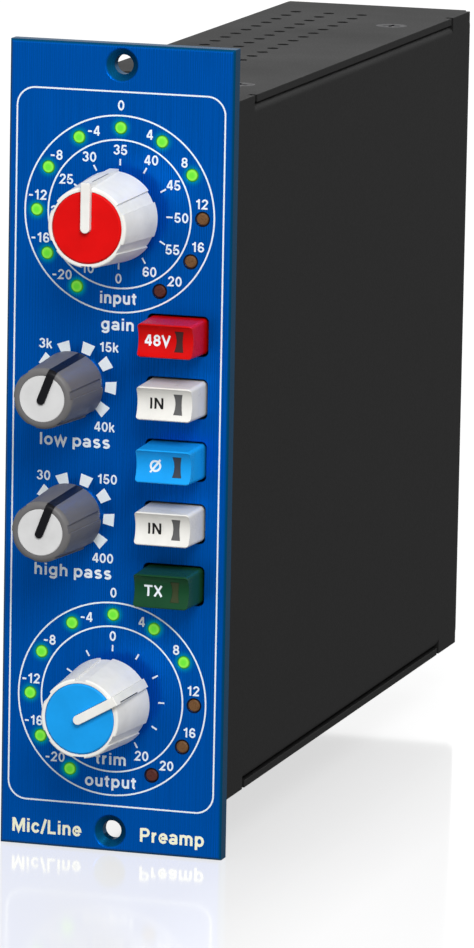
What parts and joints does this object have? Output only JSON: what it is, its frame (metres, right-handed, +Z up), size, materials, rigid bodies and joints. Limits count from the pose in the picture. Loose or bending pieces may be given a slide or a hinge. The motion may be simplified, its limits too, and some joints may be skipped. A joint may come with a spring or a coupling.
{
  "type": "rack microphone preamp module",
  "caption": "Single-width rack microphone preamp module: blue panel with lamp-ringed large knobs, small filter knobs and push buttons on a vented black case with a rear card edge.",
  "frame": {"origin": "centre of the front panel's back face, midway between the two rack screws", "axes": "+X to the right seen from the front, +Y back into the case, +Z up"},
  "size_m": [0.0382, 0.1726, 0.1334],
  "materials": {
    "panel_blue": "blue anodised aluminium, fine vertical brushing",
    "case_black": "matte black powder coat",
    "screw_black": "black zinc",
    "steel": "zinc-plated steel",
    "gold": "gold plating",
    "brass": "turned brass",
    "board_green": "green solder resist on glass-epoxy",
    "black_plastic": "moulded black nylon",
    "can_metal": "drawn nickel-iron can",
    "relay_white": "moulded ivory plastic",
    "capacitor_black": "shrink sleeve",
    "film_blue": "epoxy-filled box",
    "switch_metal": "plated steel case",
    "lamp_green": "tinted lens, lit",
    "lamp_amber": "tinted lens, unlit",
    "lamp_red": "tinted lens, unlit",
    "knob_white": "satin white moulding",
    "knob_grey": "satin grey moulding",
    "cap_red": "satin moulding",
    "cap_blue": "satin moulding",
    "cap_white": "satin moulding",
    "pointer_black": "inlaid moulding",
    "button_red": "satin moulding",
    "button_white": "satin moulding",
    "button_blue": "satin moulding",
    "button_green": "satin moulding",
    "lens_smoke": "smoked clear plastic",
    "stem_white": "moulded acetal"
  },
  "bodies": {
    "module": {"front_panel": "panel_blue", "panel_studs": "steel", "panel_nuts": "steel", "chassis_wrap": "case_black", "side_cover": "case_black", "cover_screws": "screw_black", "main_board": "board_green", "edge_contacts": "gold", "board_standoffs": "steel", "board_screws": "steel", "control_board": "board_green", "board_socket": "black_plastic", "board_header": "black_plastic", "input_transformer": "can_metal", "relays": "relay_white", "electrolytic_capacitors": "capacitor_black", "op_amps": "black_plastic", "film_capacitors": "film_blue", "green_lamps": "lamp_green", "amber_lamps": "lamp_amber", "red_lamps": "lamp_red", "lamp_spacers": "black_plastic", "gain_switch_body": "switch_metal", "trim_pot_body": "switch_metal", "filter_pot_bodies": "switch_metal", "bushing_washers": "steel", "bushing_nuts": "steel", "push_switch_bodies": "black_plastic"},
    "gain_control": {"gain_shaft": "steel", "gain_collet": "brass", "gain_knob": "knob_white", "gain_knob_cap": "cap_red"},
    "trim_control": {"trim_shaft": "steel", "trim_collet": "brass", "trim_knob": "knob_white", "trim_knob_cap": "cap_blue"},
    "low_pass_control": {"low_pass_shaft": "steel", "low_pass_knob": "knob_grey", "low_pass_knob_cap": "cap_white", "low_pass_pointer": "pointer_black"},
    "high_pass_control": {"high_pass_shaft": "steel", "high_pass_knob": "knob_grey", "high_pass_knob_cap": "cap_white", "high_pass_pointer": "pointer_black"},
    "button_1": {"button_1_cap": "button_red", "button_1_lens": "lens_smoke", "button_1_stem": "stem_white"},
    "button_2": {"button_2_cap": "button_white", "button_2_lens": "lens_smoke", "button_2_stem": "stem_white"},
    "button_3": {"button_3_cap": "button_blue", "button_3_lens": "lens_smoke", "button_3_stem": "stem_white"},
    "button_4": {"button_4_cap": "button_white", "button_4_lens": "lens_smoke", "button_4_stem": "stem_white"},
    "button_5": {"button_5_cap": "button_green", "button_5_lens": "lens_smoke", "button_5_stem": "stem_white"}
  },
  "joints": [
    {"name": "gain_turn", "type": "hinge", "parent": "module", "child": "gain_control", "pos_m": [0, -0.01, 0.03902], "axis": [0, 1, 0], "range_deg": [-180, 150]},
    {"name": "trim_turn", "type": "hinge", "parent": "module", "child": "trim_control", "pos_m": [0, -0.01, -0.04111], "axis": [0, 1, 0], "range_deg": [-210, 90]},
    {"name": "low_pass_turn", "type": "hinge", "parent": "module", "child": "low_pass_control", "pos_m": [-0.00704, -0.01, 0.0109], "axis": [0, 1, 0], "range_deg": [-171, 129]},
    {"name": "high_pass_turn", "type": "hinge", "parent": "module", "child": "high_pass_control", "pos_m": [-0.00704, -0.01, -0.0109], "axis": [0, 1, 0], "range_deg": [-171, 129]},
    {"name": "button_1_press", "type": "slide", "parent": "module", "child": "button_1", "axis": [0, 1, 0], "range_m": [0, 0.0025], "stiffness_N_per_m": 300, "springref_m": -0.002},
    {"name": "button_2_press", "type": "slide", "parent": "module", "child": "button_2", "axis": [0, 1, 0], "range_m": [0, 0.0025], "stiffness_N_per_m": 300, "springref_m": -0.002},
    {"name": "button_3_press", "type": "slide", "parent": "module", "child": "button_3", "axis": [0, 1, 0], "range_m": [0, 0.0025], "stiffness_N_per_m": 300, "springref_m": -0.002},
    {"name": "button_4_press", "type": "slide", "parent": "module", "child": "button_4", "axis": [0, 1, 0], "range_m": [0, 0.0025], "stiffness_N_per_m": 300, "springref_m": -0.002},
    {"name": "button_5_press", "type": "slide", "parent": "module", "child": "button_5", "axis": [0, 1, 0], "range_m": [0, 0.0025], "stiffness_N_per_m": 300, "springref_m": -0.002}
  ]
}
